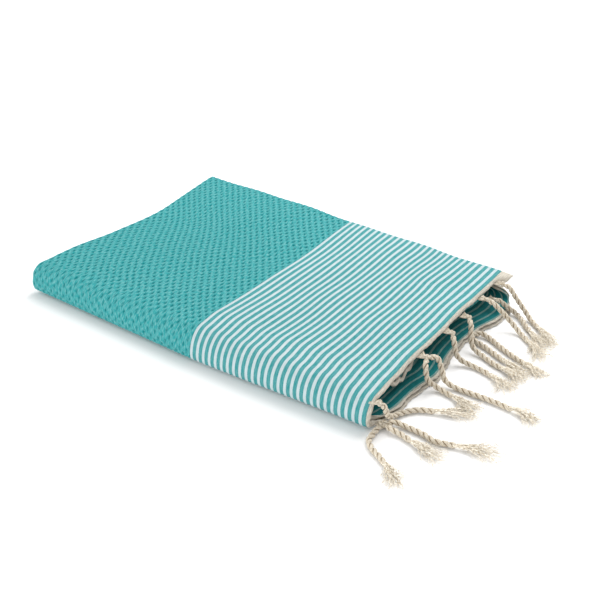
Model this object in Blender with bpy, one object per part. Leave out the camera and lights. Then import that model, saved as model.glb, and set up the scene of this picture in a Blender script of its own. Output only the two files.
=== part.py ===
"""Folded flat-woven hammam towel with knotted, twisted fringe cords.

One cloth, folded across its length twice and then in three across its width,
lies flat. +X runs from the folded end to the fringed end, +Y from the round
front fold to the back, +Z up. The origin is on the surface it lies on, at the
middle of the folded cloth. Metres.
"""
import math

import bmesh
import bpy
from mathutils import Vector

# The folded cloth.
FOLDED_LENGTH = 0.474
FOLDED_WIDTH = 0.338
CLOTH_THICKNESS = 0.0030
FLAP_WIDTH = 0.288          # the third that is folded inside
STRIPES_LENGTH = 0.2225     # striped zone, from the honeycomb to the heading
HEADING_WIDTH = 0.0115      # plain undyed band at the cloth's two ends
INNER_END_RECESS = 0.006    # how far the second end stays behind the first
MID_FOLD_RECESS = 0.038     # how far the fold at mid-length stays behind them

# The fringe.
CORD_DIAMETER = 0.0050
KNOT_DIAMETER = 0.0080
GATHER_DIAMETER = 0.0110    # the bigger knot that holds three cords
TUFT_LENGTH = 0.026
TUFT_DIAMETER = 0.0090
CORD_POINT_STEP = 2.4       # cord points, in diameters

GAP = 0.0003                # between pieces that touch
LYING_Z = CORD_DIAMETER / 2 + GAP   # a lying cord's middle

# Four layers lie over each other in each third of the folded towel.
LAYERS_IN_STACK = 4
LAYER_STEP = CLOTH_THICKNESS + GAP
STACK_STEP = LAYERS_IN_STACK * LAYER_STEP
FRONT_RADIUS = 1.5 * STACK_STEP - GAP / 2
BACK_RADIUS = STACK_STEP - GAP / 2
TOP_Z = 2 * FRONT_RADIUS
FLAP_Z = 2 * BACK_RADIUS
FOLDED_END_X = -FOLDED_LENGTH / 2
HEADING_EDGE_X = FOLDED_LENGTH / 2
FRONT_Y = -FOLDED_WIDTH / 2
BACK_Y = FOLDED_WIDTH / 2

FRONT_BEND_STEPS = 10
BACK_BEND_STEPS = 8
OUTER_END_STEPS = 8
INNER_END_STEPS = 6


def material(name, colour, roughness):
    made = bpy.data.materials.new(name)
    made.use_nodes = True
    shader = made.node_tree.nodes["Principled BSDF"]
    shader.inputs["Base Color"].default_value = (*colour, 1.0)
    shader.inputs["Roughness"].default_value = roughness
    shader.inputs["Metallic"].default_value = 0.0
    made.diffuse_color = (*colour, 1.0)
    return made


def add_object(name, data, look):
    made = bpy.data.objects.new(name, data)
    data.materials.append(look)
    bpy.context.scene.collection.objects.link(made)
    return made


def arc(steps, start, end):
    """Angles in radians from start to end, given in degrees."""
    return [math.radians(start + (end - start) * i / steps) for i in range(steps + 1)]


def width_stations():
    """Across the width: outer-face points (y, z) and inward normals (y, z)."""
    stations = [(BACK_Y, TOP_Z, 0.0, -1.0)]
    front_y = FRONT_Y + FRONT_RADIUS
    for angle in arc(FRONT_BEND_STEPS, 90, 270):
        c, s = math.cos(angle), math.sin(angle)
        stations.append((front_y + FRONT_RADIUS * c, FRONT_RADIUS + FRONT_RADIUS * s, -c, -s))
    back_y = BACK_Y - BACK_RADIUS
    for angle in arc(BACK_BEND_STEPS, -90, 90):
        c, s = math.cos(angle), math.sin(angle)
        stations.append((back_y + BACK_RADIUS * c, BACK_RADIUS + BACK_RADIUS * s, -c, -s))
    stations.append((back_y - FLAP_WIDTH, FLAP_Z, 0.0, -1.0))
    return stations


def layer_depth(layer):
    """Depth of a layer's middle below the stack's outer face."""
    return layer * LAYER_STEP + CLOTH_THICKNESS / 2


def turn(centre_x, centre_depth, radius, side, first_depth_sign, steps):
    """Half a turn of the cloth about a fold, as (x, depth, normal x, normal depth)."""
    path = []
    for angle in arc(steps, 0, 180):
        out_x = side * math.sin(angle)
        out_depth = first_depth_sign * math.cos(angle)
        path.append((centre_x + radius * out_x, centre_depth + radius * out_depth,
                     out_x, out_depth))
    return path


def honeycomb_path(start_x):
    """The middle zone's run: over, round the folded end, back, and in again."""
    end_depth = (layer_depth(0) + layer_depth(3)) / 2
    mid_depth = (layer_depth(2) + layer_depth(3)) / 2
    outer_radius = end_depth - layer_depth(0)
    inner_radius = end_depth - layer_depth(1)
    end_centre_x = FOLDED_END_X + outer_radius + CLOTH_THICKNESS / 2
    mid_radius = layer_depth(3) - mid_depth
    mid_centre_x = HEADING_EDGE_X - MID_FOLD_RECESS - mid_radius - CLOTH_THICKNESS / 2
    path = [(start_x, layer_depth(0), 0.0, -1.0)]
    path += turn(end_centre_x, end_depth, outer_radius, -1, -1, OUTER_END_STEPS)
    path += turn(mid_centre_x, mid_depth, mid_radius, 1, 1, INNER_END_STEPS)
    inner = turn(end_centre_x, end_depth, inner_radius, -1, 1, INNER_END_STEPS)
    path += [(x, depth, -nx, -nd) for x, depth, nx, nd in inner]
    path.append((start_x, layer_depth(1), 0.0, 1.0))
    return path


def flat_path(layer, start_x, end_x):
    return [(start_x, layer_depth(layer), 0.0, -1.0), (end_x, layer_depth(layer), 0.0, -1.0)]


def cloth(name, path, look):
    """A zone of the cloth: its run along the length, carried round the width's folds."""
    stations = width_stations()
    mesh = bpy.data.meshes.new(name)
    bm = bmesh.new()
    along, across = len(path) - 1, len(stations) - 1
    bmesh.ops.create_grid(bm, x_segments=along, y_segments=across, size=0.5)
    sheet = bmesh.ops.extrude_face_region(bm, geom=bm.faces[:])
    for element in sheet["geom"]:
        if isinstance(element, bmesh.types.BMVert):
            element.co.z = 1.0
    for vert in bm.verts:
        x, depth, nx, nd = path[round((vert.co.x + 0.5) * along)]
        y, z, in_y, in_z = stations[round((vert.co.y + 0.5) * across)]
        side = (vert.co.z - 0.5) * CLOTH_THICKNESS
        deep = depth + side * nd
        vert.co = (x + side * nx, y + deep * in_y, z + deep * in_z)
    bmesh.ops.recalc_face_normals(bm, faces=bm.faces[:])
    bm.to_mesh(mesh)
    bm.free()
    add_object(name, mesh, look)


def smooth_route(points):
    """Dense points of a smooth curve through the route's own points."""
    ends = [points[0] * 2 - points[1]] + points + [points[-1] * 2 - points[-2]]
    dense = [points[0].copy()]
    for before, a, b, after in zip(ends, ends[1:], ends[2:], ends[3:]):
        for i in range(1, 13):
            t = i / 12
            point = 0.5 * ((2 * a) + (b - before) * t
                           + (2 * before - 5 * a + 4 * b - after) * t ** 2
                           + (3 * a - before - 3 * b + after) * t ** 3)
            point.z = max(point.z, LYING_Z)
            dense.append(point)
    return dense


def spaced(dense, step):
    """Points at even distances of about step along a dense line."""
    lengths = [0.0]
    for a, b in zip(dense, dense[1:]):
        lengths.append(lengths[-1] + (b - a).length)
    count = max(2, round(lengths[-1] / step))
    picked = []
    for i in range(count + 1):
        target = lengths[-1] * i / count
        k = next(n for n in range(1, len(dense)) if lengths[n] >= target - 1e-9)
        share = (target - lengths[k - 1]) / (lengths[k] - lengths[k - 1])
        picked.append(dense[k - 1].lerp(dense[k], share))
    return picked


def tube(name, points, radii, look):
    curve = bpy.data.curves.new(name, "CURVE")
    curve.dimensions = "3D"
    curve.bevel_depth = 1.0
    curve.bevel_resolution = 2
    curve.use_fill_caps = True
    curve.twist_mode = "MINIMUM"
    spline = curve.splines.new("POLY")
    spline.points.add(len(points) - 1)
    for spline_point, point, radius in zip(spline.points, points, radii):
        spline_point.co = (*point, 1.0)
        spline_point.radius = radius
    add_object(name, curve, look)


def knot(name, centre, diameter, look):
    mesh = bpy.data.meshes.new(name)
    bm = bmesh.new()
    bmesh.ops.create_uvsphere(bm, u_segments=12, v_segments=8, radius=diameter / 2)
    bmesh.ops.translate(bm, vec=centre, verts=bm.verts[:])
    bm.to_mesh(mesh)
    bm.free()
    mesh.shade_smooth()
    add_object(name, mesh, look)


def fringe(group, centre, diameter, routes, look):
    """A knot at the heading's edge and the cords that leave it.

    A route's points are (x, y) from the knot's middle and the height of the
    cord's underside above the surface that it comes down to.
    """
    knot(f"{group}_knot", centre, diameter, look)
    for letter, route in routes.items():
        points = [Vector((centre.x + x, centre.y + y, under + CORD_DIAMETER / 2))
                  for x, y, under in route]
        away = (points[0] - centre).normalized()
        points.insert(0, centre + away * (diameter / 2 + GAP))
        line = spaced(smooth_route(points), CORD_POINT_STEP * CORD_DIAMETER)
        tube(f"{group}_cord{letter}", line, [CORD_DIAMETER / 2] * len(line), look)
        tuft(f"{group}_tuft{letter}", line, look)


def tuft(name, line, look):
    """The frayed end of a cord: it opens out and lies on the surface."""
    onward = line[-1] - line[-2]
    onward.z = 0.0
    onward.normalize()
    start = line[-1] + onward * GAP
    points = []
    radii = []
    for share, width in ((0.0, 0.0), (0.1, 0.0), (0.4, 0.7), (0.75, 1.0), (1.0, 0.8)):
        radius = CORD_DIAMETER / 2 + width * (TUFT_DIAMETER - CORD_DIAMETER) / 2
        point = start + onward * (share * TUFT_LENGTH)
        point.z = start.z + radius - CORD_DIAMETER / 2
        points.append(point)
        radii.append(radius)
    tube(name, points, radii, look)


def build_cloth():
    honeycomb = material("honeycomb_cloth", (0.10, 0.46, 0.46), 0.9)
    stripes = material("striped_cloth", (0.42, 0.66, 0.66), 0.9)
    heading = material("heading_cloth", (0.72, 0.66, 0.56), 0.9)

    heading_start = HEADING_EDGE_X - HEADING_WIDTH
    stripes_start = heading_start - GAP - STRIPES_LENGTH
    cloth("honeycomb_field", honeycomb_path(stripes_start - GAP), honeycomb)

    outer_stripes = flat_path(0, stripes_start, heading_start - GAP)
    inner_stripes = flat_path(1, stripes_start, heading_start - GAP - INNER_END_RECESS)
    cloth("outer_striped_end", outer_stripes, stripes)
    cloth("inner_striped_end", inner_stripes, stripes)

    outer_heading = flat_path(0, heading_start, HEADING_EDGE_X)
    inner_heading = flat_path(1, heading_start - INNER_END_RECESS,
                              HEADING_EDGE_X - INNER_END_RECESS)
    cloth("outer_heading_band", outer_heading, heading)
    cloth("inner_heading_band", inner_heading, heading)


def build_fringe():
    """Knots stand at chosen distances from the cloth's back or front edge."""
    yarn = material("fringe_yarn", (0.70, 0.60, 0.47), 0.9)
    knot_x = HEADING_EDGE_X + GAP + KNOT_DIAMETER / 2
    gather_x = HEADING_EDGE_X + GAP + GATHER_DIAMETER / 2
    top = TOP_Z - CLOTH_THICKNESS / 2
    flap = FLAP_Z - CLOTH_THICKNESS / 2
    low = KNOT_DIAMETER / 2 + GAP

    fringe("fringe_1", Vector((knot_x, BACK_Y - 0.022, top)), KNOT_DIAMETER, {"": (
        (0.010, 0.000, 0.030), (0.022, -0.001, 0.018), (0.034, -0.003, 0.008),
        (0.046, -0.008, 0.0005), (0.060, -0.019, 0.0005))}, yarn)

    fringe("fringe_2", Vector((knot_x, BACK_Y - 0.066, top)), KNOT_DIAMETER, {"": (
        (0.010, -0.001, 0.030), (0.020, 0.002, 0.021), (0.034, 0.005, 0.008),
        (0.048, 0.001, 0.0005), (0.062, -0.009, 0.0005))}, yarn)

    fringe("fringe_3", Vector((knot_x, BACK_Y - 0.040, flap)), KNOT_DIAMETER, {"": (
        (0.005, 0.007, 0.014), (0.013, 0.012, 0.006), (0.022, 0.014, 0.0015),
        (0.033, 0.007, 0.0005), (0.045, -0.005, 0.0005), (0.055, -0.014, 0.0005))}, yarn)

    fringe("fringe_4", Vector((knot_x, BACK_Y - 0.114, top)), KNOT_DIAMETER, {"": (
        (0.007, -0.006, 0.026), (0.011, -0.012, 0.013), (0.018, -0.016, 0.004),
        (0.033, -0.020, 0.0005), (0.048, -0.026, 0.0005), (0.060, -0.029, 0.0005))}, yarn)

    fringe("fringe_5", Vector((knot_x, BACK_Y - 0.101, low)), KNOT_DIAMETER, {
        "_a": ((0.009, 0.007, 0.002), (0.022, 0.005, 0.0005), (0.040, -0.004, 0.0005),
               (0.058, -0.012, 0.0005), (0.074, -0.018, 0.0005)),
        "_b": ((0.006, -0.009, 0.001), (0.024, -0.014, 0.0005), (0.040, -0.021, 0.0005),
               (0.054, -0.027, 0.0005))}, yarn)

    fringe("fringe_6", Vector((knot_x, BACK_Y - 0.155, top)), KNOT_DIAMETER, {"": (
        (0.006, -0.005, 0.025), (0.010, -0.007, 0.013), (0.017, -0.005, 0.004),
        (0.032, -0.003, 0.0005), (0.047, -0.005, 0.0005), (0.057, -0.008, 0.0005))}, yarn)

    fringe("fringe_7", Vector((knot_x, BACK_Y - 0.214, top)), KNOT_DIAMETER, {
        "_a": ((0.005, -0.011, 0.026), (0.009, -0.011, 0.012), (0.017, -0.006, 0.003),
               (0.029, -0.006, 0.0005), (0.039, -0.008, 0.0005)),
        "_b": ((0.008, 0.010, 0.028), (0.014, 0.011, 0.015), (0.022, 0.007, 0.005),
               (0.036, 0.008, 0.0005), (0.056, 0.009, 0.0005), (0.078, 0.010, 0.0005),
               (0.100, 0.009, 0.0005))}, yarn)

    fringe("fringe_8", Vector((knot_x, FRONT_Y + 0.024, top)), KNOT_DIAMETER, {"": (
        (0.004, 0.004, 0.026), (0.005, 0.008, 0.017), (0.005, 0.013, 0.0090),
        (0.005, 0.022, 0.0030), (0.008, 0.033, 0.0008), (0.014, 0.043, 0.0005),
        (0.022, 0.051, 0.0005), (0.036, 0.058, 0.0005))}, yarn)

    gather = Vector((gather_x, FRONT_Y + 0.030, GATHER_DIAMETER / 2 + GAP))
    fringe("fringe_9", gather, GATHER_DIAMETER, {
        "_a": ((-0.001, -0.014, 0.001), (0.001, -0.029, 0.0005), (0.010, -0.038, 0.0005),
               (0.022, -0.044, 0.0005), (0.032, -0.050, 0.0005)),
        "_b": ((0.012, -0.002, 0.002), (0.023, -0.002, 0.0005), (0.036, -0.005, 0.0005)),
        "_c": ((0.009, 0.010, 0.002), (0.022, 0.012, 0.0005), (0.040, 0.012, 0.0005),
               (0.056, 0.009, 0.0005), (0.076, 0.015, 0.0005))}, yarn)


for old in list(bpy.data.objects):
    bpy.data.objects.remove(old, do_unlink=True)

build_cloth()
build_fringe()
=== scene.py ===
"""Looks for the folded hammam towel: woven cloth, twisted fringe cords and their frayed ends."""
import math
import random

import bmesh
import bpy
import numpy as np
from mathutils import Matrix, Vector


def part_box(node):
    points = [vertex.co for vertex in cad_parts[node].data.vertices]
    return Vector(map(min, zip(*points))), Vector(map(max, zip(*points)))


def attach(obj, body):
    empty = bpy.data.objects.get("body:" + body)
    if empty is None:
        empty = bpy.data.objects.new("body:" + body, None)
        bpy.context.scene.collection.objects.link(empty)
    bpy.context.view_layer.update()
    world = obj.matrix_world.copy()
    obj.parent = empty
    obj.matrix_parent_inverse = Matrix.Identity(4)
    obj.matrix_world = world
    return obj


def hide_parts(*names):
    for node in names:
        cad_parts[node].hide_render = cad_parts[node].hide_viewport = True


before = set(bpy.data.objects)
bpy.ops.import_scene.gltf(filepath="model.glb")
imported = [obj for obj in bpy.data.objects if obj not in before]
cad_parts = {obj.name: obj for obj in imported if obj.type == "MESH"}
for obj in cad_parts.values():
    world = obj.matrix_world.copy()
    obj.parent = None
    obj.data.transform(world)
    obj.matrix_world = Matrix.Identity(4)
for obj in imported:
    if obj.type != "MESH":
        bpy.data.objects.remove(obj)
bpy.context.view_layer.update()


# ---------------------------------------------------------------- the setting
# A white floor that runs on past the view, an even white studio round it, a
# broad lamp high at the back and a smaller low one in front of the round fold.

def shader_material(name, colour=(0.8, 0.8, 0.8), roughness=0.9):
    made = bpy.data.materials.new(name)
    made.use_nodes = True
    shader = made.node_tree.nodes["Principled BSDF"]
    shader.inputs["Base Color"].default_value = (*colour, 1.0)
    shader.inputs["Roughness"].default_value = roughness
    shader.inputs["Specular IOR Level"].default_value = 0.2
    return made


FLOOR_HALF = 6.0
FLOOR_Z = -0.0006            # just under the lowest fibre
floor_bm = bmesh.new()
bmesh.ops.create_grid(floor_bm, x_segments=1, y_segments=1, size=FLOOR_HALF)
bmesh.ops.translate(floor_bm, vec=(0, 0, FLOOR_Z), verts=floor_bm.verts[:])
floor_mesh = bpy.data.meshes.new("floor")
floor_bm.to_mesh(floor_mesh)
floor_bm.free()
floor = bpy.data.objects.new("floor", floor_mesh)
bpy.context.scene.collection.objects.link(floor)
floor_mesh.materials.append(shader_material("floor_white", (0.91, 0.91, 0.91), 0.7))

world = bpy.data.worlds.new("studio")
world.use_nodes = True
world.node_tree.nodes["Background"].inputs["Color"].default_value = (1.0, 1.0, 1.0, 1.0)
world.node_tree.nodes["Background"].inputs["Strength"].default_value = 0.80
bpy.context.scene.world = world
bpy.context.scene.view_settings.view_transform = "Standard"


def lamp(name, place, aim, size, watts):
    light = bpy.data.lights.new(name, "AREA")
    light.shape = "DISK"
    light.size = size
    light.energy = watts
    made = bpy.data.objects.new(name, light)
    made.location = place
    made.rotation_euler = (Vector(aim) - Vector(place)).to_track_quat("-Z", "Y").to_euler()
    bpy.context.scene.collection.objects.link(made)


lamp("key", (0.0, 1.3, 1.7), (0.0, 0.0, 0.0), 2.0, 49.0)
lamp("front", (-0.2, -2.1, 0.4), (0.0, 0.0, 0.0), 0.8, 21.0)

CAMERA_PLACE = (0.6123, -0.8277, 0.6337)
CAMERA_AZIMUTH = math.radians(34.68)
CAMERA_PITCH = math.radians(31.72)
CAMERA_ROLL = math.radians(0.86)
camera = bpy.data.objects.new("camera", bpy.data.cameras.new("camera"))
camera.data.sensor_width = 36.0
camera.data.lens = 57.64
camera.data.clip_start = 0.01
camera.matrix_world = (
    Matrix.Translation(CAMERA_PLACE)
    @ Matrix.Rotation(CAMERA_AZIMUTH, 4, "Z")
    @ Matrix.Rotation(math.pi / 2 - CAMERA_PITCH, 4, "X")
    @ Matrix.Rotation(CAMERA_ROLL, 4, "Z"))
bpy.context.scene.collection.objects.link(camera)
bpy.context.scene.camera = camera


# ------------------------------------------------------------ the fringe cords
# Undyed cotton warp ends, knotted against the weave and twisted by hand into
# two-ply cords. They drop from the cloth's edge and lie out on the surface.

EDGE_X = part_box("outer_heading_band")[1][0]
BACK_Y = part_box("outer_heading_band")[1][1]
FRONT_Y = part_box("outer_heading_band")[0][1]
CORD_DIAMETER = 0.0050
GAP = 0.0003
LYING_Z = CORD_DIAMETER / 2 + GAP
CORD_LAY = 0.0158           # length of one full turn of the two plies
RING_STEP = 0.0009
PLY_SIDES = 12
PLY_OFFSET = 0.30           # a ply's middle from the cord's, then its half
PLY_HALF_DEPTH = 0.345      # depth and half width, as shares of the diameter
PLY_HALF_WIDTH = 0.47
KNOT_REACH = {name: (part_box(name)[1][0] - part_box(name)[0][0]) / 2
              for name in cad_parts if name.endswith("_knot")}
KNOT_TUCK = Vector((0.0020, 0.0, 0.0035))   # how far a high knot is drawn back and down
HIGH_KNOT = 0.02


def knot_centre(group):
    low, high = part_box(f"{group}_knot")
    middle = (Vector(low) + Vector(high)) / 2
    return middle - KNOT_TUCK * min(1.0, middle.z / HIGH_KNOT)


def smooth_route(points):
    """Dense points of a smooth curve through the route's own points."""
    ends = [points[0] * 2 - points[1]] + points + [points[-1] * 2 - points[-2]]
    dense = [points[0].copy()]
    for before, a, b, after in zip(ends, ends[1:], ends[2:], ends[3:]):
        for i in range(1, 13):
            t = i / 12
            point = 0.5 * ((2 * a) + (b - before) * t
                           + (2 * before - 5 * a + 4 * b - after) * t ** 2
                           + (3 * a - before - 3 * b + after) * t ** 3)
            point.z = max(point.z, LYING_Z)
            dense.append(point)
    return dense


def evenly(dense, step):
    """The same line as an array of points at even distances of about step."""
    line = np.array([tuple(p) for p in dense])
    lengths = np.concatenate([[0.0], np.cumsum(np.linalg.norm(np.diff(line, axis=0), axis=1))])
    count = max(2, round(lengths[-1] / step))
    marks = np.linspace(0.0, lengths[-1], count + 1)
    return np.stack([np.interp(marks, lengths, line[:, k]) for k in range(3)], axis=1)


def frames(line):
    """Unit tangents and two sideways axes that turn as little as they can."""
    tangent = np.gradient(line, axis=0)
    tangent /= np.linalg.norm(tangent, axis=1)[:, None]
    side = np.zeros_like(line)
    start = np.cross(tangent[0], (0.0, 0.0, 1.0))
    if np.linalg.norm(start) < 0.1:
        start = np.cross(tangent[0], (0.0, 1.0, 0.0))
    side[0] = start / np.linalg.norm(start)
    for i in range(1, len(line)):
        turned = side[i - 1] - tangent[i] * (side[i - 1] @ tangent[i])
        side[i] = turned / np.linalg.norm(turned)
    return tangent, side, np.cross(tangent, side)


def grid_object(name, along, across):
    """A flat grid mesh, and each vertex's place in it as whole steps (i, j)."""
    bm = bmesh.new()
    bmesh.ops.create_grid(bm, x_segments=along, y_segments=across, size=0.5)
    mesh = bpy.data.meshes.new(name)
    bm.to_mesh(mesh)
    bm.free()
    flat = np.empty(len(mesh.vertices) * 3)
    mesh.vertices.foreach_get("co", flat)
    flat = flat.reshape(-1, 3)
    i = np.rint((flat[:, 0] + 0.5) * along).astype(int)
    j = np.rint((flat[:, 1] + 0.5) * across).astype(int)
    return mesh, i, j


def set_shape(mesh, points, uv):
    """Move a grid's vertices to their places and give its loops their UVs, in metres."""
    mesh.vertices.foreach_set("co", points.astype(np.float32).ravel())
    corners = np.empty(len(mesh.loops), dtype=np.int32)
    mesh.loops.foreach_get("vertex_index", corners)
    layer = mesh.uv_layers.new(name="UVMap")
    layer.data.foreach_set("uv", uv[corners].astype(np.float32).ravel())
    mesh.shade_smooth()
    mesh.update()


def link(name, data, look):
    made = bpy.data.objects.new(name, data)
    data.materials.append(look)
    bpy.context.scene.collection.objects.link(made)
    return made


def yarn_material(name, grooved, shades):
    """Cotton yarn: pale and beige fibres mixed; on a twisted cord, painted shade darkens the colour
    where its plies meet.
    """
    made = shader_material(name, roughness=0.95)
    tree = made.node_tree
    nodes, links = tree.nodes, tree.links
    shader = nodes["Principled BSDF"]
    shader.inputs["Sheen Weight"].default_value = 0.10
    where = nodes.new("ShaderNodeTexCoord")
    stretch = nodes.new("ShaderNodeMapping")
    fineness = (700.0, 9.0, 1.0) if grooved else (420.0, 420.0, 900.0)
    stretch.inputs["Scale"].default_value = fineness
    stretch.inputs["Rotation"].default_value = (0.0, 0.0, 0.6 if grooved else 0.0)
    links.new(where.outputs["UV" if grooved else "Object"], stretch.inputs["Vector"])
    fibres = nodes.new("ShaderNodeTexNoise")
    fibres.inputs["Scale"].default_value = 1.0
    fibres.inputs["Detail"].default_value = 2.0
    links.new(stretch.outputs["Vector"], fibres.inputs["Vector"])
    tones = nodes.new("ShaderNodeValToRGB")
    tones.color_ramp.elements[0].position = 0.34
    tones.color_ramp.elements[0].color = (*shades[0], 1.0)
    tones.color_ramp.elements[1].position = 0.60
    tones.color_ramp.elements[1].color = (*shades[1], 1.0)
    links.new(fibres.outputs["Fac"], tones.inputs["Fac"])
    colour = tones.outputs["Color"]
    # Painted shade: on a twisted cord the colour turns brown in the grooves where the plies meet.
    if grooved:
        parts = nodes.new("ShaderNodeSeparateXYZ")
        links.new(where.outputs["UV"], parts.inputs["Vector"])
        inward = nodes.new("ShaderNodeMath")
        inward.operation = "SUBTRACT"
        inward.inputs[1].default_value = 0.5
        links.new(parts.outputs["Y"], inward.inputs[0])
        out = nodes.new("ShaderNodeMath")
        out.operation = "ABSOLUTE"
        links.new(inward.outputs["Value"], out.inputs[0])
        groove = nodes.new("ShaderNodeMapRange")
        groove.interpolation_type = "SMOOTHSTEP"
        groove.inputs["From Min"].default_value = 0.13
        groove.inputs["From Max"].default_value = 0.24
        links.new(out.outputs["Value"], groove.inputs["Value"])
        mixed = nodes.new("ShaderNodeMix")
        mixed.data_type = "RGBA"
        mixed.inputs[6].default_value = (0.390, 0.310, 0.210, 1.0)
        links.new(groove.outputs["Result"], mixed.inputs["Factor"])
        links.new(colour, mixed.inputs[7])
        colour = mixed.outputs[2]
    links.new(colour, shader.inputs["Base Color"])
    bump = nodes.new("ShaderNodeBump")
    bump.inputs["Strength"].default_value = 0.7
    bump.inputs["Distance"].default_value = 0.0004
    links.new(fibres.outputs["Fac"], bump.inputs["Height"])
    links.new(bump.outputs["Normal"], shader.inputs["Normal"])
    return made


YARN = yarn_material("twisted_yarn", True, ((0.46, 0.385, 0.285), (0.71, 0.65, 0.54)))
LOOSE_YARN = yarn_material("loose_yarn", False, ((0.56, 0.47, 0.34), (1.0, 0.95, 0.84)))
KNOT_YARN = yarn_material("knotted_yarn", False, ((0.34, 0.28, 0.19), (0.62, 0.57, 0.48)))


def ply_points(line, start_angle):
    """One ply's tube round a cord's middle line, as rings of points: an oval lobe that
    winds round the line and is pressed flat against the other ply."""
    _, side, up = frames(line)
    far = np.concatenate([[0.0], np.cumsum(np.linalg.norm(np.diff(line, axis=0), axis=1))])
    turn = start_angle + 2 * math.pi * far / CORD_LAY
    outward = np.cos(turn)[:, None] * side + np.sin(turn)[:, None] * up
    sideways = -np.sin(turn)[:, None] * side + np.cos(turn)[:, None] * up
    round_angle = np.linspace(0.0, 2 * math.pi, PLY_SIDES + 1)
    # Yarns show on each ply as shallow grooves that wind the other way.
    grooves = 1.0 + 0.06 * np.cos(4 * round_angle[None, :] - (8 * math.pi * far / CORD_LAY)[:, None])
    taper = np.minimum(1.0, 0.6 + np.minimum(far, far[-1] - far) / 0.003)
    reach = CORD_DIAMETER * grooves * taper[:, None]
    rings = (line[:, None, :] + PLY_OFFSET * CORD_DIAMETER * outward[:, None, :]
             + (PLY_HALF_DEPTH * reach * np.cos(round_angle))[..., None] * outward[:, None, :]
             + (PLY_HALF_WIDTH * reach * np.sin(round_angle))[..., None] * sideways[:, None, :])
    return rings, far


def twisted_cord(name, line):
    """Two plies wound round each other along the line, as one closed-tube mesh each."""
    parts = []
    for start_angle in (0.0, math.pi):
        mesh, i, j = grid_object(name, len(line) - 1, PLY_SIDES)
        rings, far = ply_points(line, start_angle)
        set_shape(mesh, rings[i, j], np.stack([far[i], j / PLY_SIDES], axis=1))
        parts.append(mesh)
    bm = bmesh.new()
    for mesh in parts:
        bm.from_mesh(mesh)
        bpy.data.meshes.remove(mesh)
    bmesh.ops.remove_doubles(bm, verts=bm.verts[:], dist=1e-6)
    bmesh.ops.holes_fill(bm, edges=[e for e in bm.edges if e.is_boundary], sides=0)
    bmesh.ops.recalc_face_normals(bm, faces=bm.faces[:])
    joined = bpy.data.meshes.new(name)
    bm.to_mesh(joined)
    bm.free()
    joined.shade_smooth()
    return link(name, joined, YARN)


# Each cord's route from its knot: (x, y) from the knot's middle and the height
# of the cord's underside above the surface.
CORD_ROUTES = {
    "fringe_1": {"": (
        (0.010, 0.000, 0.030), (0.022, -0.001, 0.018), (0.034, -0.003, 0.008),
        (0.046, -0.008, 0.0005), (0.060, -0.019, 0.0005))},
    "fringe_2": {"": (
        (0.010, -0.001, 0.030), (0.020, 0.002, 0.021), (0.034, 0.005, 0.008),
        (0.048, 0.001, 0.0005), (0.062, -0.009, 0.0005))},
    "fringe_3": {"": (
        (0.005, 0.007, 0.014), (0.013, 0.012, 0.006), (0.022, 0.014, 0.0015),
        (0.033, 0.007, 0.0005), (0.045, -0.005, 0.0005), (0.055, -0.014, 0.0005))},
    "fringe_4": {"": (
        (0.007, -0.006, 0.026), (0.011, -0.012, 0.013), (0.018, -0.016, 0.004),
        (0.033, -0.020, 0.0005), (0.048, -0.026, 0.0005), (0.060, -0.029, 0.0005))},
    "fringe_5": {
        "_a": ((0.009, 0.007, 0.002), (0.022, 0.005, 0.0005), (0.040, -0.004, 0.0005),
               (0.058, -0.012, 0.0005), (0.074, -0.018, 0.0005)),
        "_b": ((0.006, -0.009, 0.001), (0.024, -0.014, 0.0005), (0.040, -0.021, 0.0005),
               (0.054, -0.027, 0.0005))},
    "fringe_6": {"": (
        (0.006, -0.005, 0.025), (0.010, -0.007, 0.013), (0.017, -0.005, 0.004),
        (0.032, -0.003, 0.0005), (0.047, -0.005, 0.0005), (0.057, -0.008, 0.0005))},
    "fringe_7": {
        "_a": ((0.005, -0.011, 0.026), (0.009, -0.011, 0.012), (0.017, -0.006, 0.003),
               (0.029, -0.006, 0.0005), (0.039, -0.008, 0.0005)),
        "_b": ((0.008, 0.010, 0.028), (0.014, 0.011, 0.015), (0.022, 0.007, 0.005),
               (0.036, 0.008, 0.0005), (0.056, 0.009, 0.0005), (0.078, 0.010, 0.0005),
               (0.100, 0.009, 0.0005))},
    "fringe_8": {"": (
        (0.004, 0.004, 0.026), (0.005, 0.008, 0.017), (0.005, 0.013, 0.0090),
        (0.005, 0.022, 0.0030), (0.008, 0.033, 0.0008), (0.014, 0.043, 0.0005),
        (0.022, 0.051, 0.0005), (0.036, 0.058, 0.0005))},
    "fringe_9": {
        "_a": ((-0.001, -0.014, 0.001), (0.001, -0.029, 0.0005), (0.010, -0.038, 0.0005),
               (0.022, -0.044, 0.0005), (0.032, -0.050, 0.0005)),
        "_b": ((0.012, -0.002, 0.002), (0.023, -0.002, 0.0005), (0.036, -0.005, 0.0005)),
        "_c": ((0.009, 0.010, 0.002), (0.022, 0.012, 0.0005), (0.040, 0.012, 0.0005),
               (0.056, 0.009, 0.0005), (0.076, 0.015, 0.0005))},
}

cords = {}
for group, routes in CORD_ROUTES.items():
    centre = knot_centre(group)
    for letter, route in routes.items():
        points = [Vector((centre.x + x, centre.y + y, under + CORD_DIAMETER / 2))
                  for x, y, under in route]
        away = (points[0] - centre).normalized()
        points.insert(0, centre + away * (KNOT_REACH[f"{group}_knot"] + GAP))
        line = evenly(smooth_route(points), RING_STEP)
        cord = twisted_cord(f"{group}_twisted_cord{letter}", line)
        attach(cord, "root")
        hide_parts(f"{group}_cord{letter}")
        cords[group + letter] = (group, letter, cord, line)


# ------------------------------------------------------------ the frayed ends
# Past the last turn of the twist the cotton is loose: a brush of fine crimped
# threads that opens out over the surface.

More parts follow.
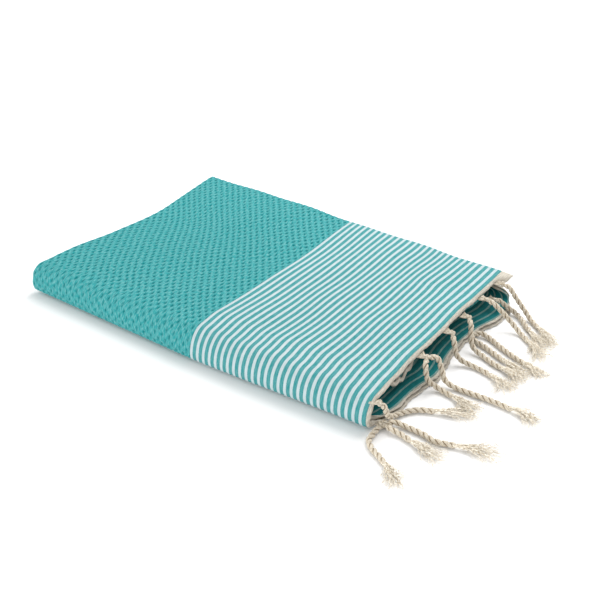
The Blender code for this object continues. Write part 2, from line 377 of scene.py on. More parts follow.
def thread_curve(name, threads, look, sides=0):
    """Many fine threads as one curve: each thread is a list of (point, radius)."""
    curve = bpy.data.curves.new(name, "CURVE")
    curve.dimensions = "3D"
    curve.bevel_depth = 1.0
    curve.bevel_resolution = sides
    curve.use_fill_caps = True
    for thread in threads:
        spline = curve.splines.new("POLY")
        spline.points.add(len(thread) - 1)
        for spline_point, (point, radius) in zip(spline.points, thread):
            spline_point.co = (*point, 1.0)
            spline_point.radius = radius
    return link(name, curve, look)


STRANDS = 30
FLYAWAYS = 46
LOCKS = 5
THREAD_STEPS = 14


def tuft_threads(end, onward, length, seed):
    """Wavy loosened yarns with single fibres round them, fanned out from a cord's end."""
    chance = random.Random(seed)
    onward = Vector((onward[0], onward[1], 0.0)).normalized()
    across = Vector((-onward.y, onward.x, 0.0))
    threads = []
    # The yarns keep together in a few locks that each lean and curl their own way.
    locks = [(chance.gauss(0.0, 0.17), chance.gauss(0.0, 0.35)) for _ in range(LOCKS)]
    for number in range(STRANDS + FLYAWAYS):
        strand = number < STRANDS
        lean, curl = locks[number % LOCKS]
        radius = chance.uniform(*((0.00040, 0.00068) if strand else (0.00012, 0.00024)))
        angle = chance.uniform(0.0, 2 * math.pi)
        reach = 0.42 * CORD_DIAMETER * math.sqrt(chance.random())
        side, lift = reach * math.cos(angle), reach * math.sin(angle)
        spread = lean + chance.gauss(0.0, 0.16 if strand else 0.30) + side * 130
        far = length * chance.uniform(*((0.70, 1.08) if strand else (0.50, 1.20)))
        crimp = chance.uniform(0.0006, 0.0016 if strand else 0.0022)
        phase = chance.uniform(0.0, 2 * math.pi)
        waves = far / chance.uniform(0.006, 0.012)
        bend = curl + chance.gauss(0.0, 0.30 if strand else 0.55)
        rise = chance.uniform(0.0, 1.0)
        thread = []
        for k in range(THREAD_STEPS + 1):
            t = k / THREAD_STEPS
            swing = spread * t + 0.5 * bend * t * t
            wave = phase + waves * 2 * math.pi * t
            point = Vector(end) + onward * (far * t * math.cos(swing) - 0.0030)
            point += across * (side + far * t * math.sin(swing) * 0.8)
            point += across * (crimp * min(1.0, 2 * t) * math.sin(wave))
            height = lift * (1 - 0.5 * t) + rise * 0.0032 * math.sin(math.pi * min(1.0, 1.2 * t))
            height += crimp * min(1.0, 2 * t) * math.cos(wave) - 0.0010 * t
            point.z = max(end[2] + height, radius + GAP)
            thread.append((point, radius * (1.0 - 0.55 * t)))
        threads.append(thread)
    return threads


TUFT_LENGTH = 0.036
LONGER_TUFTS = {"fringe_1": 0.042, "fringe_2": 0.042, "fringe_3": 0.040, "fringe_7_a": 0.040,
                "fringe_9_a": 0.038, "fringe_9_b": 0.044, "fringe_9_c": 0.050, "fringe_8": 0.047}
for number, (key, (group, letter, cord, line)) in enumerate(cords.items()):
    onward = line[-1] - line[-8]
    threads = tuft_threads(line[-1], onward, LONGER_TUFTS.get(key, TUFT_LENGTH), 40 + number)
    brush = thread_curve(f"{group}_frayed_end{letter}", threads, LOOSE_YARN)
    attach(brush, "root")
    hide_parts(f"{group}_tuft{letter}")


# ------------------------------------------------------------------ the knots
# Each bunch of warp ends is drawn together from the last of the weave and tied
# in one overhand knot, from which its cords leave.

WRAP_STEPS = 44
GATHERED = 14               # bunches of warp ends that run into a knot
GATHER_WIDTH = 0.014
GATHER_LENGTH = 0.0085
NECK_RADII = (0.0024, 0.0022, 0.0014)


def knot_threads(centre, reach, seed):
    """An overhand knot, and the warp ends that gather into it from the band's rolled edge."""
    chance = random.Random(seed)
    size = reach / 3.4
    tilt = Matrix.Rotation(chance.uniform(-0.5, 0.5), 3, "X") @ Matrix.Rotation(
        chance.uniform(0, math.pi), 3, "Z")
    wrap = []
    for k in range(WRAP_STEPS + 1):
        t = 2 * math.pi * k / WRAP_STEPS
        spot = Vector((math.sin(t) + 2 * math.sin(2 * t), math.cos(t) - 2 * math.cos(2 * t),
                       -1.1 * math.sin(3 * t))) * size * 0.82
        wrap.append((centre + tilt @ spot, reach * 0.33))
    threads = [wrap]
    for k in range(GATHERED):
        share = (k + 0.5) / GATHERED - 0.5
        root = Vector((centre.x - GATHER_LENGTH + chance.uniform(-0.0006, 0.0006),
                       centre.y + share * GATHER_WIDTH + chance.uniform(-0.0008, 0.0008),
                       centre.z + chance.uniform(-0.0006, 0.0006)))
        stop = centre + Vector((-0.2 * reach, share * reach * 1.2, 0.0))
        middle = root.lerp(stop, 0.55) + Vector((0.0, -0.12 * share * GATHER_WIDTH, -0.0010))
        threads.append([(root, 0.0005), (middle, 0.0008), (stop, 0.0010)])
    return threads


for number, group in enumerate(CORD_ROUTES):
    centre = knot_centre(group)
    reach = KNOT_REACH[f"{group}_knot"]
    threads = knot_threads(centre, reach, 70 + number)
    # Each cord's own yarn comes out of the knot into its twist.
    for owner, _, _, line in cords.values():
        if owner == group:
            threads.append(list(zip((centre, Vector(line[0]), Vector(line[3])), NECK_RADII)))
    wrapped = thread_curve(f"{group}_tied_knot", threads, KNOT_YARN, 2)
    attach(wrapped, "root")
    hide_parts(f"{group}_knot")


# ----------------------------------------------------------- the folded cloth
# One flat-woven cotton cloth, about 1.85 by 1.00 m, in three kinds of weave. It
# is folded twice along its length and then in three across its width, so it
# lies in twelve layers. Every zone below is laid into these same folds.

CLOTH_THICKNESS = 0.0030
LAYER_STEP = CLOTH_THICKNESS + GAP
LAYERS_IN_STACK = 4
STACK_STEP = LAYERS_IN_STACK * LAYER_STEP
FRONT_RADIUS = 1.5 * STACK_STEP - GAP / 2
BACK_RADIUS = STACK_STEP - GAP / 2
TOP_Z = 2 * FRONT_RADIUS
FOLDED_END_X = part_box("honeycomb_field")[0][0]
STRIPES_START_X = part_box("outer_striped_end")[0][0]
STRIPES_END_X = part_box("outer_striped_end")[1][0]
MID_FOLD_RECESS = 0.038     # how far the fold at mid-length stays behind the ends
MID_FOLD_X = EDGE_X - MID_FOLD_RECESS
FLAP_WIDTH = 0.288          # the third that is folded inside
SHEET_THICKNESS = CLOTH_THICKNESS * 0.8
FACE_DEPTH = SHEET_THICKNESS / 2    # middle of the sheet that lies on the pile's face

TOP_RUN = BACK_Y - FRONT_Y - FRONT_RADIUS
FRONT_TURN = math.pi * FRONT_RADIUS
BOTTOM_RUN = BACK_Y - FRONT_Y - FRONT_RADIUS - BACK_RADIUS
BACK_TURN = math.pi * BACK_RADIUS
FRONT_START = TOP_RUN
BOTTOM_START = FRONT_START + FRONT_TURN
BACK_START = BOTTOM_START + BOTTOM_RUN
FLAP_START = BACK_START + BACK_TURN
CLOTH_END = FLAP_START + FLAP_WIDTH


def bump_at(value, middle, width):
    """A smooth rise to 1 at the middle that dies away on both sides."""
    return np.exp(-((value - middle) / width) ** 2)


def ease(value, start, end):
    """From 0 at the start to 1 at the end, softly."""
    t = np.clip((value - start) / (end - start), 0.0, 1.0)
    return t * t * (3 - 2 * t)


def across_fold(s, depth):
    """Across the width: a point at distance s along the outer face and that deep in the stack."""
    front_angle = math.pi / 2 + (s - FRONT_START) / FRONT_RADIUS
    back_angle = -math.pi / 2 + (s - BACK_START) / BACK_RADIUS
    front_y, back_y = FRONT_Y + FRONT_RADIUS, BACK_Y - BACK_RADIUS
    where = [s < FRONT_START, s < BOTTOM_START, s < BACK_START, s < FLAP_START]
    y = np.select(where, [BACK_Y - s,
                          front_y + (FRONT_RADIUS - depth) * np.cos(front_angle),
                          front_y + (s - BOTTOM_START),
                          back_y + (BACK_RADIUS - depth) * np.cos(back_angle)],
                  back_y - (s - FLAP_START))
    z = np.select(where, [TOP_Z - depth,
                          FRONT_RADIUS + (FRONT_RADIUS - depth) * np.sin(front_angle),
                          depth,
                          BACK_RADIUS + (BACK_RADIUS - depth) * np.sin(back_angle)],
                  2 * BACK_RADIUS - depth)
    return y, z


def settle(x, y, z, s):
    """How the folded pile really lies: wavy folds, a bulging front and a rippled top."""
    high = np.clip(z / TOP_Z, 0.0, 1.2)
    folded_end = ease(x, 0.02, FOLDED_END_X)
    fringe_end = ease(x, 0.10, EDGE_X)
    front = ease(y, -0.115, -0.152)
    bottom = ease(s, BOTTOM_START - 0.01, BOTTOM_START + 0.03)
    bottom = bottom * (1 - ease(s, BACK_START + 0.015, FLAP_START + 0.005))
    flap = ease(s, BACK_START + 0.006, FLAP_START + 0.02)
    # The folded end waves in and out.
    edge_line = (-0.0045 + 0.0115 * bump_at(y, 0.035, 0.060) - 0.0064 * ease(y, -0.04, -0.11)
                 - 0.0085 * ease(y, -0.147, -0.168)
                 - 0.0020 * bump_at(y, 0.168, 0.03))
    # The weft lies in long bends on top, where the hands smoothed it.
    bends = (0.0053 * bump_at(x, 0.040, 0.085) * bump_at(y, 0.035, 0.075)
             + 0.0042 * bump_at(x, 0.112, 0.038) * bump_at(y, 0.152, 0.032)
             - 0.0030 * bump_at(x, 0.176, 0.036) * bump_at(y, 0.091, 0.019)
             + 0.0024 * bump_at(x, 0.145, 0.035) * bump_at(y, -0.068, 0.034)
             + 0.0022 * bump_at(x, 0.066, 0.034) * bump_at(y, -0.052, 0.034)
             + 0.0014 * bump_at(x, 0.226, 0.022)
             + 0.0012 * bump_at(x, 0.085, 0.040) * bump_at(y, 0.105, 0.030)
             + 0.0028 * bump_at(x, 0.225, 0.060) * bump_at(y, -0.115, 0.035))
    creep = (0.0010 + front * (0.0034 + 0.0024 * x / EDGE_X)) * (1 - bottom)
    shift = folded_end * edge_line + (1 - folded_end) * (bends * high * (1 - front) + creep)
    # At the fringed end the lowest layers spread over the surface and the flap is drawn in.
    spread = (0.0085 + 0.0150 * bump_at(y, 0.130, 0.045) + 0.0090 * bump_at(y, -0.035, 0.035)
              + 0.0020 * bump_at(y, -0.105, 0.030))
    shift = shift + fringe_end * (bottom * spread - flap * 0.028)
    low_bulge = front * (0.0125 - 0.0055 * ease(x, -0.02, 0.20)) * np.clip(1 - high, 0.0, 1.0) ** 3
    # Close to the surface the front fold turns under and leaves a narrow dark gap.
    undercut = 0.0105 * ease(y, -0.135, -0.150) * (1 - ease(z, 0.0004, 0.0052))
    skew = 0.003 + 0.0105 * np.clip(x / EDGE_X, 0.0, 1.0) ** 1.3
    skew = skew * ease(y, 0.04, -0.14)
    back_bulge = 0.004 * bump_at(x, -0.105, 0.09) * ease(y, 0.08, BACK_Y)
    hills = (-0.0016 * bump_at(y, 0.090, 0.018) * ease(x, 0.08, 0.19)
             + 0.0012 * bump_at(y, 0.050, 0.022) * ease(x, 0.04, 0.20)
             + 0.0020 * bump_at(x, -0.11, 0.07) * bump_at(y, 0.13, 0.07)
             - 0.0022 * bump_at(x, -0.19, 0.05) * bump_at(y, 0.02, 0.06)
             + 0.0022 * bump_at(s, FRONT_START, 0.040) * (1 - 0.6 * ease(x, 0.05, EDGE_X))
             + 0.0010 * np.sin(x * 31 + y * 12) * np.cos(y * 27 - x * 9)
             + 0.0006 * np.sin(x * 70 - y * 45 + 1.0))
    return x + shift, y + skew + back_bulge - low_bulge + undercut, z + hills * high * high


def piecewise(*stretches):
    """Values in even steps along stretches of (start, end, step)."""
    values = []
    for start, end, step in stretches:
        count = max(1, round(abs(end - start) / step))
        values.append(np.linspace(start, end, count + 1)[:-1])
    return np.concatenate(values + [[stretches[-1][1]]])


def half_turn(centre_x, centre_depth, radius, side, first_sign, steps):
    """A fold across the length: rows of x, depth and the outward normal in both."""
    angle = np.linspace(0.0, math.pi, steps + 1)
    out_x, out_depth = side * np.sin(angle), first_sign * np.cos(angle)
    return np.stack([centre_x + radius * out_x, centre_depth + radius * out_depth,
                     out_x, out_depth], axis=1)


def straight(xs, depth, out_depth):
    """A flat run along the length at one depth, in the same rows as a fold."""
    flat = np.zeros((len(xs), 4))
    flat[:, 0], flat[:, 1], flat[:, 3] = xs, depth, out_depth
    return flat


def woven_piece(name, path, widths, look, relief=None, rim=0.0, pull=None):
    """A zone of cloth laid along a path and across the folds.

    Its UV map holds metres of cloth: along the length and across the width.
    """
    steps = np.linalg.norm(np.diff(path[:, :2], axis=0), axis=1)
    u = np.concatenate([[0.0], np.cumsum(steps)])
    inset = np.zeros(len(widths))
    if rim:
        turned = np.array([0.35, 0.85, 1.0, 1.0])
        out = np.array([-0.0004, -0.0002, 0.0, 0.004])
        widths = np.concatenate([(widths[0] + out)[::-1], widths, widths[-1] - out])
        inset = np.concatenate([(turned * rim)[::-1], inset, turned * rim])
    mesh, i, j = grid_object(name, len(path) - 1, len(widths) - 1)
    x, depth, out_x, out_depth = path[i].T
    s = widths[j]
    lift = -inset[j]
    if relief is not None:
        lift = lift + relief(u[i], s) * (inset[j] == 0.0)
    if pull is not None:
        x, depth = pull(x, depth, s)
    y, z = across_fold(s, depth + lift * out_depth)
    points = np.stack(settle(x + lift * out_x, y, z, s), axis=1)
    set_shape(mesh, points, np.stack([u[i], s], axis=1))
    return link(name, mesh, look)


# --------------------------------------------------------- the honeycomb field
# The teal middle of the cloth, cotton woven in a honeycomb: staggered oval
# dimples with slanting floats between them. It shows on top, in front, round
# the folded end and underneath; three more layers of it lie inside the pile.

CELL_ALONG = 0.0099
CELL_ACROSS = 0.0134
DIMPLE_ALONG = 0.0016
DIMPLE_ACROSS = 0.0035
DIMPLE_DEPTH = 0.0016


def honeycomb_relief(u, s):
    """Staggered oval dimples in the weave."""
    hollow = 0.0
    for half in (0.0, 0.5):
        along = (np.mod(u / CELL_ALONG + half, 1.0) - 0.5) * CELL_ALONG / DIMPLE_ALONG
        across = (np.mod(s / CELL_ACROSS + half, 1.0) - 0.5) * CELL_ACROSS / DIMPLE_ACROSS
        hollow = hollow + np.exp(-along ** 2 - across ** 2)
    # Round the front fold the cloth is stretched and its dimples open out.
    return -DIMPLE_DEPTH * hollow * (1 - 0.3 * ease(s, FRONT_START - 0.01, FRONT_START + 0.02))


def group_tree(name, inputs, outputs):
    tree = bpy.data.node_groups.new(name, "ShaderNodeTree")
    for label, kind, value in inputs:
        socket = tree.interface.new_socket(name=label, in_out="INPUT", socket_type=kind)
        if value is not None:
            socket.default_value = value
    for label, kind in outputs:
        tree.interface.new_socket(name=label, in_out="OUTPUT", socket_type=kind)
    return tree, tree.nodes.new("NodeGroupInput"), tree.nodes.new("NodeGroupOutput")


def math_node(tree, operation, first, second=None, third=None, clamp=False):
    node = tree.nodes.new("ShaderNodeMath")
    node.operation = operation
    node.use_clamp = clamp
    for slot, value in enumerate((first, second, third)):
        if value is None:
            continue
        if isinstance(value, (int, float)):
            node.inputs[slot].default_value = value
        else:
            tree.links.new(value, node.inputs[slot])
    return node.outputs["Value"]


def plain_weave_group():
    """Fine over-and-under threads, with the small unevenness of spun cotton."""
    tree, given, result = group_tree(
        "plain_weave",
        [("Vector", "NodeSocketVector", None), ("Thread", "NodeSocketFloat", 0.0009)],
        [("Height", "NodeSocketFloat"), ("Slub", "NodeSocketFloat")])
    parts = tree.nodes.new("ShaderNodeSeparateXYZ")
    tree.links.new(given.outputs["Vector"], parts.inputs["Vector"])
    turns = math_node(tree, "DIVIDE", 2 * math.pi, given.outputs["Thread"])
    warp = math_node(tree, "SINE", math_node(tree, "MULTIPLY", parts.outputs["Y"], turns))
    weft = math_node(tree, "SINE", math_node(tree, "MULTIPLY", parts.outputs["X"], turns))
    height = math_node(tree, "MULTIPLY_ADD", math_node(tree, "MULTIPLY", warp, weft), 0.5, 0.5)
    slub = tree.nodes.new("ShaderNodeTexNoise")
    slub.inputs["Scale"].default_value = 1.0
    slub.inputs["Detail"].default_value = 3.0
    stretch = tree.nodes.new("ShaderNodeMapping")
    stretch.inputs["Scale"].default_value = (900.0, 130.0, 1.0)
    tree.links.new(given.outputs["Vector"], stretch.inputs["Vector"])
    tree.links.new(stretch.outputs["Vector"], slub.inputs["Vector"])
    tree.links.new(height, result.inputs["Height"])
    tree.links.new(slub.outputs["Fac"], result.inputs["Slub"])
    return tree


PLAIN_WEAVE = plain_weave_group()


def weave_nodes(tree, thread):
    """The weave group in a material, fed by the cloth's own UV map."""
    where = tree.nodes.new("ShaderNodeTexCoord")
    weave = tree.nodes.new("ShaderNodeGroup")
    weave.node_tree = PLAIN_WEAVE
    weave.inputs["Thread"].default_value = thread
    tree.links.new(where.outputs["UV"], weave.inputs["Vector"])
    return where, weave


def mix_colours(tree, factor, first, second):
    node = tree.nodes.new("ShaderNodeMix")
    node.data_type = "RGBA"
    tree.links.new(factor, node.inputs["Factor"])
    for socket, value in ((node.inputs[6], first), (node.inputs[7], second)):
        if isinstance(value, tuple):
            socket.default_value = (*value, 1.0)
        else:
            tree.links.new(value, socket)
    return node.outputs[2]


def bump_into(tree, height, distance, strength=1.0):
    bump = tree.nodes.new("ShaderNodeBump")
    bump.inputs["Strength"].default_value = strength
    bump.inputs["Distance"].default_value = distance
    tree.links.new(height, bump.inputs["Height"])
    tree.links.new(bump.outputs["Normal"], tree.nodes["Principled BSDF"].inputs["Normal"])


def map_range(tree, value, start, end, low=0.0, high=1.0):
    node = tree.nodes.new("ShaderNodeMapRange")
    for label, number in (("From Min", start), ("From Max", end), ("To Min", low), ("To Max", high)):
        node.inputs[label].default_value = number
    tree.links.new(value, node.inputs["Value"])
    return node.outputs["Result"]


TEAL = (0.028, 0.322, 0.334)
# painted shade: the darker teal that is laid into the honeycomb's dimples
TEAL_DIMPLE_SHADE = (0.002, 0.190, 0.200)
TEAL_PALE = (0.145, 0.440, 0.450)


def honeycomb_group():
    """Where the staggered oval dimples lie, and the fine slanting floats between them."""
    tree, given, result = group_tree(
        "honeycomb_weave",
        [("Vector", "NodeSocketVector", None)],
        [("Dimple", "NodeSocketFloat"), ("Floats", "NodeSocketFloat")])
    parts = tree.nodes.new("ShaderNodeSeparateXYZ")
    tree.links.new(given.outputs["Vector"], parts.inputs["Vector"])
    hollows = []
    for half in (0.0, 0.5):
        squares = []
        for axis, cell, size in (("X", CELL_ALONG, DIMPLE_ALONG), ("Y", CELL_ACROSS, DIMPLE_ACROSS)):
            place = math_node(tree, "MULTIPLY_ADD", parts.outputs[axis], 1 / cell, half)
            place = math_node(tree, "SUBTRACT", math_node(tree, "FRACT", place), 0.5)
            place = math_node(tree, "MULTIPLY", place, cell / size)
            squares.append(math_node(tree, "POWER", math_node(tree, "ABSOLUTE", place), 2.0))
        far = math_node(tree, "ADD", *squares)
        hollows.append(math_node(tree, "EXPONENT", math_node(tree, "MULTIPLY", far, -1.0)))
    dimple = math_node(tree, "ADD", *hollows, clamp=True)
    turn = tree.nodes.new("ShaderNodeMapping")
    turn.inputs["Rotation"].default_value = (0.0, 0.0, math.radians(38))
    turn.inputs["Scale"].default_value = (900.0, 200.0, 1.0)
    floats = tree.nodes.new("ShaderNodeTexNoise")
    floats.inputs["Scale"].default_value = 1.0
    floats.inputs["Detail"].default_value = 2.0
    tree.links.new(given.outputs["Vector"], turn.inputs["Vector"])
    tree.links.new(turn.outputs["Vector"], floats.inputs["Vector"])
    tree.links.new(dimple, result.inputs["Dimple"])
    tree.links.new(floats.outputs["Fac"], result.inputs["Floats"])
    return tree


def honeycomb_material():
    """Teal honeycomb weave: painted shade darkens its dimples, with pale slanting floats on its
    ridges.
    """
    made = shader_material("honeycomb_cloth", roughness=0.92)
    tree = made.node_tree
    shader = tree.nodes["Principled BSDF"]
    shader.inputs["Sheen Weight"].default_value = 0.04
    where, weave = weave_nodes(tree, 0.0011)
    cells = tree.nodes.new("ShaderNodeGroup")
    cells.node_tree = honeycomb_group()
    tree.links.new(where.outputs["UV"], cells.inputs["Vector"])
    pale = map_range(tree, cells.outputs["Floats"], 0.44, 0.64)
    colour = mix_colours(tree, pale, TEAL, TEAL_PALE)
    # Painted shade: the dimples are darkened by an uneven amount, and less round the front fold where
    # they open out.
    dimple_shade_noise = tree.nodes.new("ShaderNodeTexNoise")
    dimple_shade_noise.inputs["Scale"].default_value = 330.0
    dimple_shade_noise.inputs["Detail"].default_value = 3.0
    tree.links.new(where.outputs["UV"], dimple_shade_noise.inputs["Vector"])
    uneven = map_range(tree, dimple_shade_noise.outputs["Fac"], 0.35, 0.65, 0.55, 1.25)
    parts = tree.nodes.new("ShaderNodeSeparateXYZ")
    tree.links.new(where.outputs["UV"], parts.inputs["Vector"])
    opened = map_range(tree, parts.outputs["Y"], FRONT_START - 0.01, FRONT_START + 0.02, 1.0, 0.75)
    shade = math_node(tree, "MULTIPLY", math_node(tree, "MULTIPLY", cells.outputs["Dimple"], uneven),
                      opened, clamp=True)
    colour = mix_colours(tree, map_range(tree, shade, 0.10, 0.80), colour, TEAL_DIMPLE_SHADE)
    tree.links.new(colour, shader.inputs["Base Color"])
    height = math_node(tree, "MULTIPLY_ADD", cells.outputs["Floats"], 1.6, weave.outputs["Height"])
    height = math_node(tree, "MULTIPLY_ADD", cells.outputs["Dimple"], -2.5, height)
    bump_into(tree, height, 0.00035)
    return made


HONEYCOMB = honeycomb_material()


def layer_depth(layer):
    """How deep a layer's middle lies in the stack."""
    return layer * LAYER_STEP + CLOTH_THICKNESS / 2


END_DEPTH = (layer_depth(0) + layer_depth(3)) / 2
OUTER_END_RADIUS = END_DEPTH
END_CENTRE_X = FOLDED_END_X + OUTER_END_RADIUS

# The layer that shows: on top and in front each dimple is modelled finely.
FINE = CELL_ALONG / 9
FINE_ACROSS = CELL_ACROSS / 11
outer_path = np.concatenate([
    straight(piecewise((STRIPES_START_X - GAP, END_CENTRE_X, FINE)), 0.0, -1.0)[:-1],
    half_turn(END_CENTRE_X, END_DEPTH, OUTER_END_RADIUS, -1, -1, 18)])
show_end = BOTTOM_START + 0.004
honeycomb_top = woven_piece(
    "honeycomb_field_top", outer_path,
    piecewise((0.0, show_end, FINE_ACROSS)),
    HONEYCOMB, honeycomb_relief, rim=SHEET_THICKNESS)
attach(honeycomb_top, "root")
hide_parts("honeycomb_field")

under_path = np.concatenate([
    straight(piecewise((STRIPES_START_X - GAP, END_CENTRE_X, 0.0020)), 0.0, -1.0)[:-1],
    half_turn(END_CENTRE_X, END_DEPTH, OUTER_END_RADIUS, -1, -1, 12)])
honeycomb_under = woven_piece(
    "honeycomb_field_under", under_path,
    piecewise((show_end, BACK_START, 0.0027), (BACK_START, FLAP_START, 0.0016),
              (FLAP_START, CLOTH_END, 0.004)),
    HONEYCOMB, honeycomb_relief, rim=SHEET_THICKNESS)
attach(honeycomb_under, "root")
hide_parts("honeycomb_field")


def solid_cloth(piece, thickness):
    """Give a single sheet its thickness, half on each side."""
    wall = piece.modifiers.new("thickness", "SOLIDIFY")
    wall.thickness = thickness
    wall.offset = 0.0
    return piece


# The three layers of the field inside the pile.
MID_RADIUS = LAYER_STEP / 2
MID_TURN_X = MID_FOLD_X - 0.003
INSIDE_STEP = 0.009
inside_path = np.concatenate([
    straight(piecewise((END_CENTRE_X, MID_TURN_X, INSIDE_STEP)), layer_depth(3), 1.0)[:-1],
    half_turn(MID_TURN_X, (layer_depth(2) + layer_depth(3)) / 2, MID_RADIUS, 1, 1, 8),
    straight(piecewise((MID_TURN_X, END_CENTRE_X, INSIDE_STEP)), layer_depth(2), -1.0)[1:-1],
    half_turn(END_CENTRE_X, END_DEPTH, LAYER_STEP / 2, -1, 1, 8),
    straight(piecewise((END_CENTRE_X, STRIPES_START_X - GAP, INSIDE_STEP)), layer_depth(1), 1.0)[1:]])
COARSE_WIDTHS = piecewise((0.0, FRONT_START, 0.008), (FRONT_START, BOTTOM_START, 0.003),
                          (BOTTOM_START, BACK_START, 0.008), (BACK_START, FLAP_START, 0.003),
                          (FLAP_START, CLOTH_END, 0.008))
honeycomb_inside = woven_piece("honeycomb_field_inside", inside_path, COARSE_WIDTHS, HONEYCOMB)
solid_cloth(honeycomb_inside, SHEET_THICKNESS)
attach(honeycomb_inside, "root")
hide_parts("honeycomb_field")


# ----------------------------------------------------------- the striped ends
# Plain-woven cotton in even white and teal weft stripes. The outer end shows on
# top, in front and beneath; the inner one lies just inside it and shows where
# the pile gapes at the fringed end.

STRIPES = 27
STRIPES_LENGTH = 0.2225
STEPS_PER_STRIPE = 6
STRIPE_PITCH = (STRIPES_END_X - STRIPES_START_X) / STRIPES
STRIPE_STEP = STRIPE_PITCH / STEPS_PER_STRIPE
STRIPE_RELIEF = 0.00022


def stripe_relief(u, s):
    return STRIPE_RELIEF * np.cos(2 * math.pi * (u / STRIPE_PITCH - 0.25))


def striped_material(name, white_half, teals, whites):
    """Plain weave in white and teal weft stripes; the wrong side shows less of the white, and the
    inner copy's darker colours are painted shade.
    """
    made = shader_material(name, roughness=0.9)
    tree = made.node_tree
    shader = tree.nodes["Principled BSDF"]
    shader.inputs["Sheen Weight"].default_value = 0.02
    where, weave = weave_nodes(tree, 0.0009)
    parts = tree.nodes.new("ShaderNodeSeparateXYZ")
    tree.links.new(where.outputs["UV"], parts.inputs["Vector"])
    ragged = tree.nodes.new("ShaderNodeTexNoise")
    ragged.inputs["Scale"].default_value = 900.0
    ragged.inputs["Detail"].default_value = 2.0
    tree.links.new(where.outputs["UV"], ragged.inputs["Vector"])
    edge = math_node(tree, "MULTIPLY_ADD", ragged.outputs["Fac"], 0.0007, parts.outputs["X"])
    stripe = math_node(tree, "FLOORED_MODULO", math_node(tree, "DIVIDE", edge, STRIPE_PITCH), 1.0)
    from_middle = math_node(tree, "ABSOLUTE", math_node(tree, "SUBTRACT", stripe, 0.25))
    other_way = math_node(tree, "SUBTRACT", 1.0, from_middle)
    from_middle = math_node(tree, "MINIMUM", from_middle, other_way)
    is_teal = map_range(tree, from_middle, white_half - 0.02, white_half + 0.02)
    shade = map_range(tree, weave.outputs["Slub"], 0.3, 0.8)
    teal = mix_colours(tree, shade, *teals)
    white = mix_colours(tree, shade, *whites)
    tree.links.new(mix_colours(tree, is_teal, white, teal), shader.inputs["Base Color"])
    bump_into(tree, weave.outputs["Height"], 0.00022)
    return made


STRIPED = striped_material("striped_cloth", 0.205, ((0.022, 0.245, 0.255), (0.130, 0.360, 0.370)),
                           ((0.43, 0.53, 0.55), (0.54, 0.63, 0.65)))
# The inner end's copy has narrower white, as on the wrong side. Its darker teals and greyed whites
# are painted shade inside the gaping pile.
STRIPED_INSIDE_SHADED = striped_material("striped_cloth_inside_painted_shade", 0.140,
                                  ((0.001, 0.125, 0.132), (0.003, 0.190, 0.198)),
                                  ((0.10, 0.24, 0.23), (0.30, 0.42, 0.39)))

MEDIUM_WIDTHS = piecewise((0.0, FRONT_START, 0.0042), (FRONT_START, BOTTOM_START, 0.0021),
                          (BOTTOM_START, BACK_START, 0.0055), (BACK_START, FLAP_START, 0.0025),
                          (FLAP_START, CLOTH_END, 0.008))
stripe_path = straight(np.arange(STRIPES * STEPS_PER_STRIPE + 1) * STRIPE_STEP
                       + STRIPES_START_X,
                       FACE_DEPTH, -1.0)
outer_stripes = woven_piece("striped_end_outer", stripe_path, MEDIUM_WIDTHS, STRIPED,
                            stripe_relief)
solid_cloth(outer_stripes, SHEET_THICKNESS)
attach(outer_stripes, "root")
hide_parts("outer_striped_end")

INNER_END_RECESS = 0.006
inner_path = stripe_path.copy()
inner_path[:, 0] = (STRIPES_START_X + (inner_path[:, 0] - STRIPES_START_X)
                    * (1 - INNER_END_RECESS / STRIPES_LENGTH))
inner_path[:, 1] = layer_depth(1)
INNER_SPREAD = 0.0085


def inner_sag(s):
    """How far the inner end hangs below the top near the front, where the pile gapes most."""
    return 0.0150 * bump_at(s, 0.254, 0.030) + 0.0020 * np.sin(s * 330) * bump_at(s, 0.250, 0.045)


def spread_inner(x, depth, s):
    """Underneath, the inner end slides out until its stripes reach the outer one's."""
    under = ease(s, BOTTOM_START - 0.012, BOTTOM_START + 0.015)
    under = under * (1 - ease(s, BACK_START + 0.012, FLAP_START + 0.010))
    slide = INNER_SPREAD * under * ease(x, 0.10, STRIPES_END_X - INNER_END_RECESS)
    sag = inner_sag(s) * ease(x, MID_FOLD_X, STRIPES_END_X - INNER_END_RECESS)
    return x + slide + 0.2 * sag, depth + sag


inner_stripes = woven_piece("striped_end_inner", inner_path, MEDIUM_WIDTHS, STRIPED_INSIDE_SHADED,
                            stripe_relief, pull=spread_inner)
solid_cloth(inner_stripes, SHEET_THICKNESS)
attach(inner_stripes, "root")
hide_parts("inner_striped_end")


# ----------------------------------------------------------- the heading bands
# Undyed plain weave that closes the cloth before the fringe. The bands' edges
# roll down over the pile, except at the free back corner, and lie flat beneath.

def heading_material():
    """Undyed cotton, uneven between beige and cream."""
    made = shader_material("heading_cloth", roughness=0.95)
    tree = made.node_tree
    _, weave = weave_nodes(tree, 0.0011)
    shade = map_range(tree, weave.outputs["Slub"], 0.3, 0.75)
    colour = mix_colours(tree, shade, (0.48, 0.43, 0.35), (0.80, 0.76, 0.67))
    tree.links.new(colour, tree.nodes["Principled BSDF"].inputs["Base Color"])
    bump_into(tree, weave.outputs["Height"], 0.0004)
    return made


HEADING = heading_material()
HEADING_WIDTH = EDGE_X - STRIPES_END_X
BAND_THICKNESS = CLOTH_THICKNESS * 0.5
CAUGHT_BACK = 0.0050


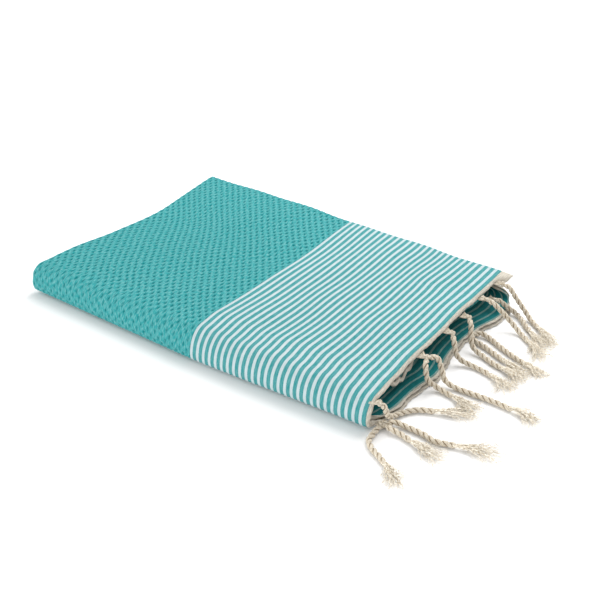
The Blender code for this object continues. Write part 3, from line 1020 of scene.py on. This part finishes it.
def rolled_heading(start_x, lag):
    """How far a heading band reaches past the stripes and how it rolls inward."""
    def pull(x, depth, s):
        run = (x - start_x) / HEADING_WIDTH
        corner = bump_at(s, 0.0, 0.014)
        flat_under = ease(s, BOTTOM_START - 0.012, BOTTOM_START + 0.015)
        flat_under = flat_under * (1 - ease(s, BACK_START + 0.012, FLAP_START + 0.010))
        back_bend = ease(s, BACK_START - 0.010, BACK_START + 0.012)
        back_bend = back_bend * (1 - ease(s, FLAP_START - 0.010, FLAP_START + 0.010))
        hidden = ease(s, FLAP_START + 0.010, FLAP_START + 0.040)
        length = 0.0080 + 0.0078 * corner - 0.0045 * back_bend + 0.0016 * hidden
        length = length + 0.0009 * np.sin(s * 170) + 0.0005 * np.sin(s * 590 + 2.0)
        roll = 0.05 + 3.30 * (1 - corner) * (1 - flat_under)
        reach = length * np.sin(roll * run) / roll
        drop = length * (1 - np.cos(roll * run)) / roll
        if lag:
            # The inner band is caught back under its own stripes where it lies flat.
            tuck = flat_under * ease(run, 0.75, 0.40)
            reach = reach + flat_under * (INNER_SPREAD - CAUGHT_BACK) + lag * (1 - flat_under)
            sag = inner_sag(s)
            return start_x + reach + 0.2 * sag, depth + drop + sag - 0.0016 * tuck
        return start_x + reach, depth + drop
    return pull


HEADING_WIDTHS = piecewise((0.0, FRONT_START, 0.0025), (FRONT_START, BOTTOM_START, 0.0018),
                           (BOTTOM_START, BACK_START, 0.003), (BACK_START, FLAP_START, 0.002),
                           (FLAP_START, CLOTH_END, 0.004))
for name, node, start, depth, lag in (
        ("heading_band_outer", "outer_heading_band", STRIPES_END_X, FACE_DEPTH, 0.0),
        ("heading_band_inner", "inner_heading_band", STRIPES_END_X - INNER_END_RECESS,
         layer_depth(1), 0.0008)):
    path = straight(start + np.linspace(0.0, HEADING_WIDTH, 13), depth, -1.0)
    band = woven_piece(name, path, HEADING_WIDTHS, HEADING, pull=rolled_heading(start, lag))
    solid_cloth(band, BAND_THICKNESS)
    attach(band, "root")
    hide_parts(node)
